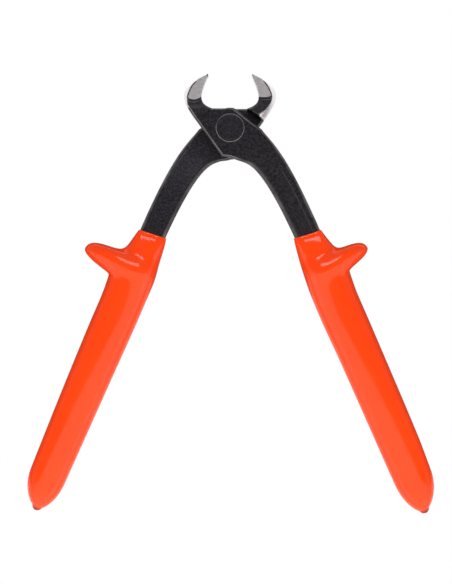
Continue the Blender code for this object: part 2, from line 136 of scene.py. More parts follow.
# Jaw's edges, and the stretches of its length over which they change
JAW_CROWNS = {"front": 1.65 * MM, "back": 2.0 * MM}
CROWN_START = 0.14
CROWN_STRETCH = (0.22, 0.44)
PAD_BULGES = {"front": 1.9 * MM, "back": 0.7 * MM}
BULGE_STRETCH = (0.3, PAD_END)
BULGE_END_STRETCH = (NECK_START, 0.86)
PAD_CHAMFER = 0.68 * MM
TIP_CHAMFER = 0.1 * MM
CHAMFER_STRETCH = (0.25, 0.3)
CHAMFER_RIM = 1.2
TIP_EDGE = 0.2 * MM
MOUTH_EDGE = 0.45 * MM
MOUTH_EDGE_STRETCH = (NECK_START, 1.0)
BACK_EDGE_STRETCH = (PAD_END, 0.72)
SHOULDER_STRETCH = (0.8, 1.0)
LEAST_WIDTH_SHARE = 6

# Ground faces: rings left black at the tip, the end of the bright back and its rings on the shoulder
BLACK_TIP_RINGS = {"front": 1, "back": 0}
GROUND_BACK_ENDS = {"front": 0.74, "back": 1.0}
GROUND_SHOULDER_RINGS = {"front": 0, "back": 4}

# Edges of the forging: how far each bevel reaches across and down
NECK_EDGES = {"front": (0.95 * MM, 0.95 * MM), "back": (2.3 * MM, 5.0 * MM)}
SHOULDER_EDGES = {"front": (0.9 * MM, 0.9 * MM), "back": (3.6 * MM, 5.0 * MM)}
BOSS_EDGE = (0.9 * MM, 0.85 * MM)
HANDLE_EDGE = (1.8 * MM, 1.6 * MM)
BEVEL_FLATNESS = 1.35
PARTING_BULGE = 0.12 * MM
CORNER_STEPS = 6
FLAT_STEPS = 5
EDGE_RIM = 0.35 * MM
LEVER_SMOOTHING = radians(32)

# Wear with painted sheen across a bevel, from the wall to the face, and the rings over which it changes;
# the bare steel stands in for the light the bevels catch as well as for real wear
CORNER_WEAR_AND_SHEEN = (0.6, 0.45, 0.4, 0.4, 0.5, 0.75, 1.0, 0.0)
HANDLE_WEAR_AND_SHEEN = (0.75, 0.7, 0.62, 0.52, 0.42, 0.3, 0.2, 0.0)
HANDLE_WEAR_AND_SHEEN_RINGS = (12, 24)
NECK_WEAR_AND_SHEEN_RINGS = 3
# Painted highlight: the jaw's step below the pad is lightened all round
STEP_PAINTED_HIGHLIGHT = 0.6

# Bare handle, along its length from the boss (0) to the sleeve's rim (1)
HANDLE_CURVE = [Vector((7.2, -6.2)) * MM, Vector((13.5, -11.8)) * MM, Vector((19.3, -10.7)) * MM]
HANDLE_ROOT_WIDTH = 21.4 * MM
HANDLE_LEAST_WIDTH = 11.7 * MM
HANDLE_WAIST = 2.4
HANDLE_STEPS = 42
HANDLE_START = 6
HANDLE_TOP_POWER = 1.4
HANDLE_EDGE_STRETCH = (0.12, 0.5)
SHANK_THICKNESS = 9.2 * MM
SHANK_INSET = 0.7 * MM
LAP_REACH = 0.3

# Bare panel pressed into the front face of the handle; its steps are in millimetres
PANEL_START = 0.645
PANEL_HALF_WIDTH = 3.1 * MM
PANEL_DEPTH = 0.35 * MM
PANEL_DRAFT = 0.4 * MM
PANEL_ABOVE = 1.0 * MM
PANEL_LEAST = 0.02 * MM
PANEL_END_SLOPE = 1.6
PANEL_END_STEPS = [0.02, 0.15, 0.4, 0.8, 1.3, 2.0, 2.6, 3.1]
PANEL_PITCH = 1.5
PANEL_ROWS = 21
PANEL_PARTS = 20

# Tang inside the grip
GRIP_ANGLE = radians(23.06)
GRIP_OFFSET = 15.1 * MM
RIM_DISTANCE = 61.7 * MM
TANG_START = 69.5 * MM
TANG_END = 196.0 * MM
TANG_WIDTHS = (11.8 * MM, 9.1 * MM)
TANG_THICKNESSES = (8.4 * MM, 6.4 * MM)
TANG_CORNER = 2.6 * MM
TANG_END_EDGE = 1.0 * MM
COAT_HOLE = 1.6 * MM

# Dipped sleeve: stations along the grip in millimetres, each with its reach from the grip's axis
INWARD = {
    "front": (
        (61.2, 7.7), (66, 8.5), (74, 9.6), (82, 10.35), (92, 10.9), (108, 10.9), (122, 10.4), (188, 9.4),
    ),
    "back": (
        (61.2, 7.75), (66, 8.5), (74, 9.35), (82, 10.4), (92, 10.55), (108, 10.5), (122, 10.2),
        (188, 8.95),
    ),
}
OUTWARD = {
    "front": (
        (62.4, 6.3), (66, 7.0), (73, 9.0), (80, 10.2), (88, 11.05), (96, 10.4), (110, 10.5),
        (174, 10.45), (188, 9.8),
    ),
    "back": (
        (62.4, 6.4), (66, 7.15), (73, 8.6), (80, 10.2), (90, 11.1), (96, 10.6), (114, 10.6),
        (150, 10.15), (188, 9.3),
    ),
}
HALF_THICKNESS = (
    (61.7, 5.4), (63.2, 6.2), (66, 7.0), (70, 7.7), (73, 8.05), (75, 8.5), (76.5, 9.3), (78, 10.05),
    (79.5, 10.55), (81, 10.88), (82.2, 10.95), (83.6, 10.5), (86, 9.9), (90, 9.5), (98, 9.15), (188, 8.1),
)
SLEEVE_POINTS = 56
SLEEVE_SMOOTHING = radians(60)

# Squareness of the sleeve's sections: 2 is an ellipse, more is squarer
RIM_POWER = 5.0
COLLAR_POWER = 2.6
COLLAR_POWER_FADE = 0.6
CREST_POWER = 2.25
GRIP_POWER = 2.35
DRIP_POWER = 2.0
COAT_POWER = 4.0
CORE_POWER = 2.2

# Rolled rim and collar: steps as spare width, spare thickness and distance below the rim
RIM_INNER = 61.2
RIM_OUTER = 62.4
RIM_STEPS = ((-1.0, -0.6, 0.3), (-0.5, -0.32, 0.0), (-0.08, -0.08, 0.16), (0.0, 0.0, 0.7))
RIM_DROP = RIM_STEPS[-1][-1]
RIM_INSIDE_STEPS = ((-1.05, -0.68, 0.8), (-1.05, -0.7, 3.0))
RIM_SAGS = {"front": 0.35, "back": 0.1}
COLLAR_END = 72.0
COLLAR_STEPS = 6

# Thumb guard: a horn that rises from the collar to its tip and falls to the handhold
CREST = 81.9
HORN_TIPS = {"front": 79.0, "back": 80.6}
HORN_REACHES = {"front": 23.7, "back": 27.0}
HORN_RISES = {"front": 4.5, "back": 5.2}
HORN_FALLS = {"front": 6.7, "back": 7.1}
HORN_RISE_STEPS = (0.04, 0.11, 0.22, 0.38, 0.56, 0.73, 0.86, 0.95, 1.0)
HORN_FALL_STEPS = (0.13, 0.27, 0.41, 0.54, 0.66, 0.77, 0.87, 0.95, 1.0, 1.06, 1.2)
HORN_RISE_POWER = 4
HORN_FALL_POWER = 2.25
HORN_FILLET = 0.004
RISE_FILLETS = {"front": 1.0, "back": 1.5}
RISE_FILLET_END = 0.35
HORN_TAPER = 0.38
HORN_RIDGE = 0.3
HORN_LEAN = (1.0, 15.0)
HORN_LEAN_REACH = (9.0, 15.0)

# Root of the guard, where the skin is smoothed: first above a height, then all of it
SOFT_START = 64.5 * MM
SOFT_END = 104.0 * MM
SOFT_INNER = -8.0 * MM
SOFT_OUTER = 17.0 * MM
SOFT_PASSES = ((2.5 * MM, 4), (0.0, 2))
SOFT_FACTOR = 0.5

# Handhold, nose and the drip that the dipping leaves at its end
GRIP_START = 90.5
GRIP_STATIONS = (92.5, 95, 98, 102, 107, 112, 118, 126, 136, 146, 156, 166, 176, 183)
NOSE_START = 188.0
NOSE_WIDTH_POWER = 2.4
NOSE_DEPTH_POWER = 5.0
NOSE_BLUNTNESS = 0.85
NOSE_LENGTHS = {"front": 18.9, "back": 17.3}
NOSE_STEPS = (0.0, 0.12, 0.24, 0.36, 0.48, 0.58, 0.67, 0.75, 0.82, 0.88, 0.93, 0.97)
DRIP_LENGTH = 2.0
DRIP_RADIUS = 2.5
DRIP_LEAN = 0.8
DRIP_STEPS = ((0.0, 1.0), (0.3, 0.92), (0.55, 0.78), (0.75, 0.58), (0.9, 0.34), (1.0, 0.1))
DRIP_DARK_RINGS = 2

# Hollow for the guard's core
CORE_DISTANCES = {"front": 79.3 * MM, "back": 81.0 * MM}
CORE_RISES = {"front": 5.2 * MM, "back": 6.0 * MM}
CORE_FALLS = {"front": 6.5 * MM, "back": 7.0 * MM}
CORE_RISE_POWER = 6.7
CORE_FALL_POWER = 2.0
CORE_REACHES = {"front": 13.4 * MM, "back": 16.2 * MM}
CORE_INNER_REACH = 10.6 * MM
CORE_BODY_REACH = 10.8 * MM
CORE_HALF_THICKNESSES = (9.1 * MM, 10.9 * MM)
CORE_CREST_DROP = 0.8
CORE_CREST_POWER = 1.5
CORE_WALL = 1.9 * MM
CORE_STEPS = (-1.0, -0.9, -0.6, 0.0, 0.4, 0.75, 1.0)

# Finish: colours and roughness from the lowest to the highest grain
GRAIN_STOPS = (0.3, 0.7)
GRAIN_ROUGHNESS = 0.6
GRAIN_DETAILS = {"Mottle": 4.0, "Speckle": 2.0}
PAINT_STOPS = (0.38, 0.66)
PAINT_DARK = (0.0022, 0.0018, 0.0035, 1.0)
PAINT_TINT = (0.91, 0.86, 1.0, 1.0)
PAINT_RELIEF = 0.1 * MM
LEVER_PAINT = {
    "scales": (120.0, 900.0), "light": (0.0155, 0.0135, 0.017, 1.0), "roughness": (0.28, 0.4),
    "gloss": 0.45, "strength": 0.5,
}
RIVET_PAINT = {
    "scales": (260.0, 1000.0), "light": (0.0145, 0.0125, 0.016, 1.0), "roughness": (0.36, 0.48),
    "gloss": 0.4, "strength": 0.3,
}
# Bare steel colour of worn edges, also used as painted sheen on the lit bevels and a painted highlight on
# the rivet's rim
BARE_STEEL_AND_SHEEN = (0.14, 0.136, 0.137, 1.0)
WEAR_AND_SHEEN_EDGE = (0.12, 0.5)
GROUND_COLOURS = ((0.568, 0.538, 0.562, 1.0), (0.68, 0.645, 0.672, 1.0))
GROUND_ROUGHNESS = (0.36, 0.5)
GROUND_TURN = radians(20)
GROUND_LINES = (350.0, 5200.0, 350.0)
GROUND_LINE_DETAIL = 3.0
GROUND_STRENGTH = 0.25
GROUND_RELIEF = 0.05 * MM
VINYL_COLOURS = ((1.0, 0.053, 0.0025, 1.0), (1.0, 0.061, 0.0035, 1.0))
VINYL_ROUGHNESS = (0.08, 0.12)
VINYL_GRAIN = (45.0, 420.0)
VINYL_GLOSS = 0.3
VINYL_STRENGTH = 0.03
VINYL_RELIEF = 0.4 * MM
DRIP_COLOUR = (0.22, 0.02, 0.012, 1.0)
CORE_COLOURS = ((0.8, 0.09, 0.015, 1.0), (0.86, 0.12, 0.02, 1.0))
CORE_ROUGHNESS = (0.45, 0.55)
COAT_COLOURS = ((0.7, 0.66, 0.55, 1.0), (0.78, 0.75, 0.65, 1.0))
COAT_ROUGHNESS = (0.5, 0.6)

# Photograph: its size in pixels, the middle of its view and its scale on the lap plane
PHOTO_HEIGHT_PX = 584
PHOTO_SCALE = 0.4849 * MM
VIEW_CENTRE = Vector((-1.95, -79.4)) * MM
CAMERA_HEIGHT = 2200 * MM
SENSOR_HEIGHT_MM = 24.0

# Light tent: brightness of its walls from near to far and of its roof
WALL_GLOW = (1.6, 0.35)
WALL_EDGE = (-0.5, 0.4)
ROOF_GLOW = 0.22
ROOF_EDGE = (0.3, 0.6)

# Lamps: a softbox above the grips, a small lamp for the gleams on the guards, a fill without gleams
SOFTBOX_EDGE = -0.133
SOFTBOX_HEIGHT = 0.4
SOFTBOX_SIZE = (1.6, 0.8)
SOFTBOX_WATTS = 5.4
SOFTBOX_COLOUR = (1.0, 0.98, 0.85)
LAMP_PLACE = (0.0, 0.62, 0.92)
LAMP_AIM = (0.0, -0.05, 0.0)
LAMP_SIZE = (0.55, 0.28)
LAMP_WATTS = 2.9
FILL_PLACE = (0.0, 0.9, 0.65)
FILL_SIZE = (1.0, 1.0)
FILL_WATTS = 3.4

# Floor: pale paper that glows by the jaws, with painted shade beside the grips and between the collars,
# seen only in reflections and bounce light
FLOOR_SIZE = 6.0
FLOOR_DROP = 0.2 * MM
FLOOR_SHADE = 0.85
FLOOR_ROUGHNESS = 0.7
FLOOR_GLOW = 2.3
FLOOR_GLOW_SHARE = 0.42
FLOOR_GLOW_EDGE = (-0.02, 0.01)
# Painted shade: the floor's tone where it darkens what the grips reflect and the light bouncing onto them
PAINTED_SHADE_TONE = 0.12
OUTER_SHADE_EDGE = (0.023, 0.029)
OUTER_SHADE_END = (-0.172, -0.16)
INNER_SHADE_EDGE = (0.006, 0.003)
INNER_SHADE_START = (-0.042, -0.05)
INNER_SHADE_END = (-0.088, -0.08)


def polar(length, angle):
    return Vector((cos(angle), sin(angle))) * length


def mix(first, second, fraction):
    return first + (second - first) * fraction


def smooth(value, start, stop):
    f = min(max((value - start) / (stop - start), 0.0), 1.0)
    return f * f * (3 - 2 * f)


def bezier(start, pull_start, pull_end, end, f):
    g = 1 - f
    return g**3 * start + 3 * g * g * f * pull_start + 3 * g * f * f * pull_end + f**3 * end


# Ring modelling: a piece grows from a circle that is extruded and laid on one section after another


def start_rings(name, ring):
    """New piece in edit mode: a filled circle, laid on the first section."""
    bpy.ops.object.select_all(action="DESELECT")
    bpy.ops.mesh.primitive_circle_add(vertices=len(ring), radius=START_RADIUS, fill_type="NGON")
    piece = bpy.context.object
    piece.name = name
    piece.data.name = name
    bpy.ops.object.mode_set(mode="EDIT")
    bm = bmesh.from_edit_mesh(piece.data)
    place = bm.verts.layers.int.new("place")
    bm.verts.layers.int.new("ring")
    for i, vert in enumerate(bm.verts):
        vert[place] = i
    lay_ring(piece, ring, 0)
    return piece


def lay_ring(piece, ring, number):
    """Move the selected ring onto a section and number it."""
    bm = bmesh.from_edit_mesh(piece.data)
    place = bm.verts.layers.int["place"]
    count = bm.verts.layers.int["ring"]
    for vert in bm.verts:
        if vert.select:
            vert.co = ring[vert[place]]
            vert[count] = number
    bmesh.update_edit_mesh(piece.data)


def draw_rings(name, rings):
    """Closed skin over a row of sections with the same number of points."""
    piece = start_rings(name, rings[0])
    for number, ring in enumerate(rings[1:], 1):
        bpy.ops.mesh.extrude_region_move()
        lay_ring(piece, ring, number)
    bpy.ops.mesh.select_all(action="SELECT")
    bpy.ops.mesh.normals_make_consistent(inside=False)
    bpy.ops.object.mode_set(mode="OBJECT")
    return piece


def face_places(piece):
    """For each face: the highest of its rings, and the lowest and highest of its places on them."""
    ring = piece.data.attributes["ring"].data
    place = piece.data.attributes["place"].data
    for face in piece.data.polygons:
        places = [place[i].value for i in face.vertices]
        yield face, max(ring[i].value for i in face.vertices), min(places), max(places)


def mark(piece, name, weight):
    """Write a number on each point from its ring and its place on the ring."""
    ring = piece.data.attributes["ring"].data
    place = piece.data.attributes["place"].data
    values = [weight(ring[i].value, place[i].value) for i in range(len(ring))]
    marks = piece.data.attributes.new(name, "FLOAT", "POINT")
    marks.data.foreach_set("value", values)


def drop_numbers(piece):
    for name in ("ring", "place"):
        piece.data.attributes.remove(piece.data.attributes[name])


def choose(piece):
    """Make a piece the only one selected."""
    bpy.ops.object.select_all(action="DESELECT")
    piece.select_set(True)
    bpy.context.view_layer.objects.active = piece


def cut(piece, cutter):
    """Cut one piece out of another, and delete the cutter."""
    choose(piece)
    modifier = piece.modifiers.new("cut", "BOOLEAN")
    modifier.operation = "DIFFERENCE"
    modifier.solver = "EXACT"
    modifier.use_self = True
    modifier.object = cutter
    bpy.ops.object.modifier_apply(modifier=modifier.name)
    bpy.data.objects.remove(cutter, do_unlink=True)


def place_half(piece, side):
    """Put a piece modelled on the lap plane in its place on one half of the tool."""
    choose(piece)
    piece.location = (0.0, 0.0, LAP_HEIGHT)
    piece.rotation_euler = (0.0, pi if side == "back" else 0.0, 0.0)
    bpy.ops.object.transform_apply(location=True, rotation=True, scale=True)


def smooth_faces(piece, angle):
    choose(piece)
    bpy.ops.object.shade_smooth_by_angle(angle=angle)


# Lever: sections of the jaw, the boss, the handle and the tang


def round_corner(wide, deep):
    """Softened bevel from the wall to the face, as (across, down) pairs."""
    corner = []
    for step in range(CORNER_STEPS + 1):
        turn = pi / 2 * step / CORNER_STEPS
        across = wide * (1 - cos(turn) ** (2 / BEVEL_FLATNESS))
        corner.append((across, deep * (1 - sin(turn) ** (2 / BEVEL_FLATNESS))))
    return corner + [(wide + EDGE_RIM, 0.0)]


def crown_corner(crown, chamfer, half):
    """Barrelled back up to a narrow chamfer, as (across, down) pairs."""
    corner = []
    for step in range(CORNER_STEPS):
        rise = mix(CROWN_START, 1.0, step / (CORNER_STEPS - 1))
        corner.append((crown * rise * rise, half - (half - chamfer) * rise))
    return corner + [(crown + chamfer, 0.0), (crown + chamfer * CHAMFER_RIM, 0.0)]


def mix_corners(first, second, fraction):
    return [(mix(a, c, fraction), mix(b, d, fraction)) for (a, b), (c, d) in zip(first, second)]


def section_spots(width, low, high, near_corner, far_corner):
    """Points round a section as (across, height) pairs, from its near parting line over the top."""
    middle = (low + high) / 2
    flat_start = near_corner[-1][0]
    flat_stop = width - far_corner[-1][0]
    flat = [mix(flat_start, flat_stop, step / FLAT_STEPS) for step in range(1, FLAT_STEPS)]
    top = [(step, high - down) for step, down in near_corner]
    top += [(step, high) for step in flat]
    top += [(width - step, high - down) for step, down in reversed(far_corner)]
    bottom = [(width - step, low + down) for step, down in far_corner]
    bottom += [(step, low) for step in reversed(flat)]
    bottom += [(step, low + down) for step, down in reversed(near_corner)]
    return [(-PARTING_BULGE, middle)] + top + [(width + PARTING_BULGE, middle)] + bottom


def lever_ring(near, far, low, high, near_corner, far_corner, bulge=0.0):
    """Section of the forging from a near to a far point of the plan, bowed towards the joint."""
    across = (far - near).normalized()
    run = Vector((across.y, -across.x))
    width = (far - near).length
    ring = []
    for step, z in section_spots(width, low, high, near_corner, far_corner):
        u = step / width
        point = near + across * step + run * bulge * 4 * u * (1 - u)
        ring.append((point.x, point.y, z))
    return ring


def boss_edges():
    """Straight edges of the boss: a point on each, and the way each one runs to the handle."""
    back = polar(BOSS_BACK_OFFSET, BOSS_BACK_ANGLE)
    front = polar(BOSS_FRONT_OFFSET, BOSS_FRONT_ANGLE)
    return back, polar(1, BOSS_BACK_ANGLE + pi / 2), front, polar(1, BOSS_FRONT_ANGLE - pi / 2)


def shoulder_points(offset):
    """Ends of a line across the root of the jaw, at an offset from the pivot."""
    back, back_run, _, _ = boss_edges()
    normal = polar(1, pi - BOSS_FRONT_ANGLE)
    near = back + back_run * ((offset - back.dot(normal)) / back_run.dot(normal))
    far = Vector(((min(offset, MOUTH_OFFSET) - MOUTH_FLOOR * normal.y) / normal.x, MOUTH_FLOOR))
    return near, far


def jaw_half_width(along):
    """Flat ground side, then a step, then a slope to the face of the boss."""
    step = mix(JAW_HALF_WIDTH, NECK_HALF_WIDTH, smooth(along, STEP_START, STEP_END))
    return mix(step, BOSS_FACE, max(0.0, along - STEP_END) / (1 - STEP_END))


def jaw_sides(along):
    """Points on the jaw's back and on the mouth at a share of its length."""
    tip = polar(JAW_REACH, pi / 2 + JAW_LEAN)
    edge = tip + polar(EDGE_LAND, EDGE_ANGLE)
    heel = tip + polar(BEVEL_LENGTH, BEVEL_ANGLE)
    near, far = shoulder_points(SHOULDER_OFFSET)
    if along <= HEEL:
        outer = mix(tip, heel, along / HEEL)
    else:
        swell = heel + polar(JAW_BACK_SWELL, JAW_BACK_ANGLE)
        root = near - boss_edges()[1] * JAW_ROOT_SWELL
        share = (along - HEEL) / (1 - HEEL)
        outer = bezier(heel, swell, root, near, share + JAW_SKEW * sin(pi * share))
    mouth_swell = edge + polar(MOUTH_SWELL, MOUTH_ANGLE)
    mouth_root = far + polar(MOUTH_ROOT_SWELL, MOUTH_ROOT_ANGLE)
    return outer, bezier(edge, mouth_swell, mouth_root, far, along)


def jaw_back_corner(along, side, half, least):
    """Crowned back with a chamfer on the ground part, a bevel on the neck."""
    crown = JAW_CROWNS[side] * smooth(along, *CROWN_STRETCH)
    chamfer = mix(TIP_CHAMFER, PAD_CHAMFER, smooth(along, *CHAMFER_STRETCH))
    sharp = crown_corner(crown, min(chamfer, least), half)
    bevel, shoulder = round_corner(*NECK_EDGES[side]), round_corner(*SHOULDER_EDGES[side])
    neck = mix_corners(bevel, shoulder, smooth(along, *SHOULDER_STRETCH))
    return mix_corners(sharp, neck, smooth(along, *BACK_EDGE_STRETCH))


def jaw_ring(along, side):
    outer, inner = jaw_sides(along)
    half = jaw_half_width(along)
    least = (inner - outer).length / LEAST_WIDTH_SHARE
    near_corner = jaw_back_corner(along, side, half, least)
    fine = min(mix(TIP_EDGE, MOUTH_EDGE, along), least)
    mouth, boss = round_corner(fine, fine), round_corner(*BOSS_EDGE)
    far_corner = mix_corners(mouth, boss, smooth(along, *MOUTH_EDGE_STRETCH))
    bulge = PAD_BULGES[side] * smooth(along, *BULGE_STRETCH) * (1 - smooth(along, *BULGE_END_STRETCH))
    return lever_ring(outer, inner, -half, half, near_corner, far_corner, bulge)


def grip_axes():
    return polar(1, GRIP_ANGLE - pi / 2), polar(1, GRIP_ANGLE)


def grip_point(distance, offset):
    """Plan point at a distance along the grip and an offset from the pivot to its thumb side."""
    along, outward = grip_axes()
    return along * distance + outward * offset


def handle_centre(f):
    rim = grip_point(RIM_DISTANCE, GRIP_OFFSET - SHANK_INSET)
    return bezier(*HANDLE_CURVE, rim, f)


def handle_station(f):
    """Centre, outward normal and width of the bare handle at a share of its length."""
    step = 0.01
    run = handle_centre(f + step) - handle_centre(f - step)
    outward = Vector((-run.y, run.x)).normalized()
    width = HANDLE_LEAST_WIDTH + (HANDLE_ROOT_WIDTH - HANDLE_LEAST_WIDTH) * exp(-HANDLE_WAIST * f)
    return handle_centre(f), outward, width


def handle_sides(f):
    centre, outward, width = handle_station(f)
    return centre - outward * width / 2, centre + outward * width / 2


def handle_top(f):
    start = HANDLE_START / HANDLE_STEPS
    share = max(0.0, f - start) / (1 - start)
    return mix(BOSS_FACE, SHANK_THICKNESS / 2, share**HANDLE_TOP_POWER)


def handle_bottom(f):
    return mix(LAP, -SHANK_THICKNESS / 2, smooth(f, LAP_REACH, 1.0))


def shoulder_rings(side):
    """Rounded drop from the neck to the lap face, on the side where the other half turns."""
    shoulder, boss = round_corner(*SHOULDER_EDGES[side]), round_corner(*BOSS_EDGE)
    rings = []
    for number, (offset, low) in enumerate(SHOULDER_STEPS, 1):
        near, far = shoulder_points(offset * MM)
        edge = mix_corners(shoulder, boss, number / len(SHOULDER_STEPS))
        rings.append(lever_ring(near, far, low * MM, BOSS_FACE, edge, boss))
    return rings


def boss_rings(side):
    """Flat cheek of the joint, from the shoulder to the root of the handle."""
    near, _ = shoulder_points(SHOULDER_STEPS[-1][0] * MM)
    _, back_run, front, front_run = boss_edges()
    crotch = near + back_run * BOSS_BACK_LENGTH
    root = handle_sides(HANDLE_START / HANDLE_STEPS)[1]
    corner = front + front_run * ((BOSS_TOP_RADIUS * BOSS_CORNER_SHARE - front.y) / front_run.y)
    outer = [polar(BOSS_TOP_RADIUS, turn) for turn in BOSS_TOP_ANGLES]
    outer += [mix(corner, root, f) for f in BOSS_FRONT_SHARES]
    inner = [mix(near, crotch, step / len(outer)) for step in range(1, len(outer) + 1)]
    for step in range(HANDLE_START):
        inner.append(handle_sides(step / HANDLE_STEPS)[0])
        share = mix(BOSS_FRONT_SHARES[-1], 1.0, (step + 1) / (HANDLE_START + 1))
        outer.append(mix(corner, root, share))
    for point in inner:
        near_middle = smooth(point.x, *CROTCH_ACROSS) * smooth(point.y, *CROTCH_DOWN)
        point.y -= CROTCH_FILLS[side] * near_middle
    edge = round_corner(*BOSS_EDGE)
    return [lever_ring(a, b, LAP, BOSS_FACE, edge, edge) for a, b in zip(inner, outer)]


def handle_rings():
    boss, shank = round_corner(*BOSS_EDGE), round_corner(*HANDLE_EDGE)
    rings = []
    for step in range(HANDLE_START, HANDLE_STEPS + 1):
        f = step / HANDLE_STEPS
        near, far = handle_sides(f)
        edge = mix_corners(boss, shank, smooth(f, *HANDLE_EDGE_STRETCH))
        rings.append(lever_ring(near, far, handle_bottom(f), handle_top(f), edge, edge))
    return rings


def tang_size(distance, spare):
    f = (distance - TANG_START) / (TANG_END - TANG_START)
    return mix(*TANG_WIDTHS, f) / 2 + spare, mix(*TANG_THICKNESSES, f) / 2 + spare


def tang_rings():
    steps = ((TANG_START, 0.0), (TANG_END - TANG_END_EDGE, 0.0), (TANG_END, -TANG_END_EDGE))
    rings = []
    for distance, spare in steps:
        half, deep = tang_size(distance, spare)
        near = grip_point(distance, GRIP_OFFSET - half)
        far = grip_point(distance, GRIP_OFFSET + half)
        corner = round_corner(TANG_CORNER + spare, TANG_CORNER + spare)
        rings.append(lever_ring(near, far, -deep, deep, corner, corner))
    return rings


def round_ring(radius, z):
    turns = [2 * pi * i / RIVET_POINTS for i in range(RIVET_POINTS)]
    return [(radius * cos(turn), radius * sin(turn), z) for turn in turns]


def rivet_hole():
    """Stepped hole for the rivet's head and shank."""
    head = RIVET_RADIUS + RIVET_GAP
    shank = RIVET_SHANK_RADIUS + RIVET_GAP
    seat = BOSS_FACE - RIVET_HEAD_THICKNESS
    steps = [(shank, LAP - HOLE_OVERRUN), (shank, seat), (head, seat), (head, BOSS_FACE - HOLE_LIP)]
    steps += [(head + HOLE_LIP, BOSS_FACE), (head + HOLE_LIP, BOSS_FACE + HOLE_OVERRUN)]
    return draw_rings("rivet_hole", [round_ring(radius, z) for radius, z in steps])


def panel_length():
    """Length of the handle's middle line from the panel's upper end to the sleeve."""
    shares = [mix(PANEL_START, 1.0, i / PANEL_PARTS) for i in range(PANEL_PARTS + 1)]
    points = [handle_centre(share) for share in shares]
    return sum((after - before).length for before, after in zip(points, points[1:]))


def panel_ring(reach, length):
    """Section of the panel's cutter at a distance from its upper end, with sloping sides."""
    f = PANEL_START + (1 - PANEL_START) * reach / length
    centre, outward, _ = handle_station(f)
    short = max(0.0, PANEL_HALF_WIDTH - reach)
    half = sqrt(PANEL_HALF_WIDTH**2 - short**2)
    floor_half = max(half - PANEL_DRAFT, PANEL_LEAST)
    depth = PANEL_DEPTH * min(1.0, half / PANEL_HALF_WIDTH * PANEL_END_SLOPE)
    slope = PANEL_DRAFT / PANEL_DEPTH
    right = [(floor_half, -depth), (half, 0.0), (half + PANEL_ABOVE * slope, PANEL_ABOVE)]
    left = [(-offset, z) for offset, z in reversed(right)]
    spots = [(centre + outward * offset, handle_top(f) + z) for offset, z in left + right]
    return [(spot.x, spot.y, z) for spot, z in spots]


def panel_cutter():
    """Long shallow panel with a round upper end, down the handle's front face."""
    length = panel_length()
    rows = [PANEL_END_STEPS[-1] + PANEL_PITCH * i for i in range(1, PANEL_ROWS + 1)]
    return draw_rings("panel_cutter", [panel_ring(step * MM, length) for step in PANEL_END_STEPS + rows])


def lever_ring_places():
    """What each point of a section belongs to, in order round it."""
    corner = ["near"] * CORNER_STEPS + ["near_edge", "flat"]
    flat = ["flat"] * (FLAT_STEPS - 1)
    far = ["flat", "far_edge"] + ["far"] * CORNER_STEPS
    return ["near"] + corner + flat + far + ["far"] + far[::-1] + flat + corner[::-1]


def paint_ground_faces(lever, side):
    """Bright ground steel on the jaw's sides, bevel and back."""
    places = lever_ring_places()
    heel = JAW_STATIONS.index(HEEL)
    pad_end = JAW_STATIONS.index(PAD_END)
    back_end = JAW_STATIONS.index(GROUND_BACK_ENDS[side]) + GROUND_SHOULDER_RINGS[side]
    for face, ring, low, high in face_places(lever):
        span = {places[low], places[high]}
        wraps = high - low > len(places) / 2
        on_back = (wraps or span == {"near"}) and ring <= back_end
        on_side = span <= {"flat", "far_edge", "far"} or span == {"near_edge", "flat"}
        on_bevel = BLACK_TIP_RINGS[side] < ring <= heel
        if on_back or on_bevel or (on_side and heel < ring <= pad_end):
            face.material_index = 1


def lever_wear_and_sheen(ring, place):
    """Paint rubbed off the borders of the bevels round the joint, and off their outer half below it,
    which also paints the sheen of the lit bevels; a painted highlight all round the jaw's step.
    """
    # Painted highlight: both rings of the jaw's step are lightened all round
    if ring in (JAW_STATIONS.index(STEP_BORDER), JAW_STATIONS.index(STEP_END)):
        return STEP_PAINTED_HIGHLIGHT
    boss = len(JAW_STATIONS) + len(SHOULDER_STEPS)
    handle = smooth(ring - boss, *HANDLE_WEAR_AND_SHEEN_RINGS)
    corner = [0.0] + [mix(joint, lower, handle) for joint, lower in zip(CORNER_WEAR_AND_SHEEN, HANDLE_WEAR_AND_SHEEN)]
    side = corner + [0.0] * (FLAT_STEPS - 1) + corner[::-1]
    below_jaw = smooth(ring - JAW_STATIONS.index(NECK_START), 0, NECK_WEAR_AND_SHEEN_RINGS)
    return (side + side[1:])[place] * below_jaw


def model_lever(side, black, ground):
    rings = [jaw_ring(along, side) for along in JAW_STATIONS]
    rings += shoulder_rings(side) + boss_rings(side) + handle_rings() + tang_rings()
    lever = draw_rings(side + "_forged_lever", rings)
    lever.data.materials.append(black)
    lever.data.materials.append(ground)
    paint_ground_faces(lever, side)
    # Wear mark, which also paints sheen on the bevels and a highlight on the jaw's step
    mark(lever, "wear_and_sheen", lever_wear_and_sheen)
    drop_numbers(lever)
    cut(lever, rivet_hole())
    cut(lever, panel_cutter())
    smooth_faces(lever, LEVER_SMOOTHING)
    place_half(lever, side)
    return lever


